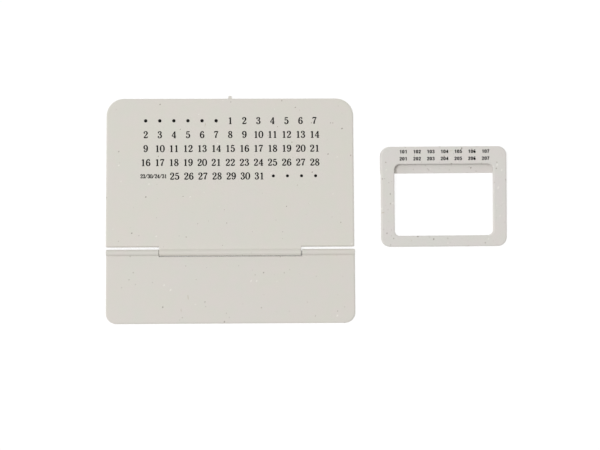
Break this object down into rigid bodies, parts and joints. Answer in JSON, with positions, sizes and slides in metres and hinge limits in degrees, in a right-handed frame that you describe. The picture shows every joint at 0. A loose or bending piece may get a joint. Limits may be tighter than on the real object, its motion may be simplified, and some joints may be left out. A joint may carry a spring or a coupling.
{
  "type": "perpetual desk calendar",
  "caption": "Flat plastic perpetual calendar: date board with a folding flap on a knuckle hinge, and a loose window frame that hooks over its top edge.",
  "frame": {"origin": "centre of the board's back face, on the surface that the calendar lies on", "axes": "+X along the hinge, to the reader's right; +Y up the board, away from the flap; +Z out of the printed face"},
  "size_m": [0.2426, 0.1383, 0.0085],
  "materials": {
    "board_plastic": "matt, warm grey, with sparse straw specks",
    "flap_plastic": "matt, warm grey, with sparse straw specks",
    "frame_plastic": "matt, warm grey, with straw specks",
    "pin_steel": "drawn wire, bright",
    "print_ink": "matt black print"
  },
  "bodies": {
    "board": {"display_board": "board_plastic"},
    "flap": {"stand_flap": "flap_plastic", "hinge_pin_left": "pin_steel", "hinge_pin_right": "pin_steel"},
    "frame": {"index_frame": "frame_plastic"}
  },
  "joints": [
    {"name": "flap_hinge", "type": "hinge", "parent": "board", "child": "flap", "pos_m": [0, -0.047, 0.002], "axis": [1, 0, 0], "range_deg": [-154, 104.5]},
    {"name": "frame_travel", "type": "slide", "parent": "board", "child": "frame", "axis": [1, 0, 0], "range_m": [0, 0.05124]}
  ]
}
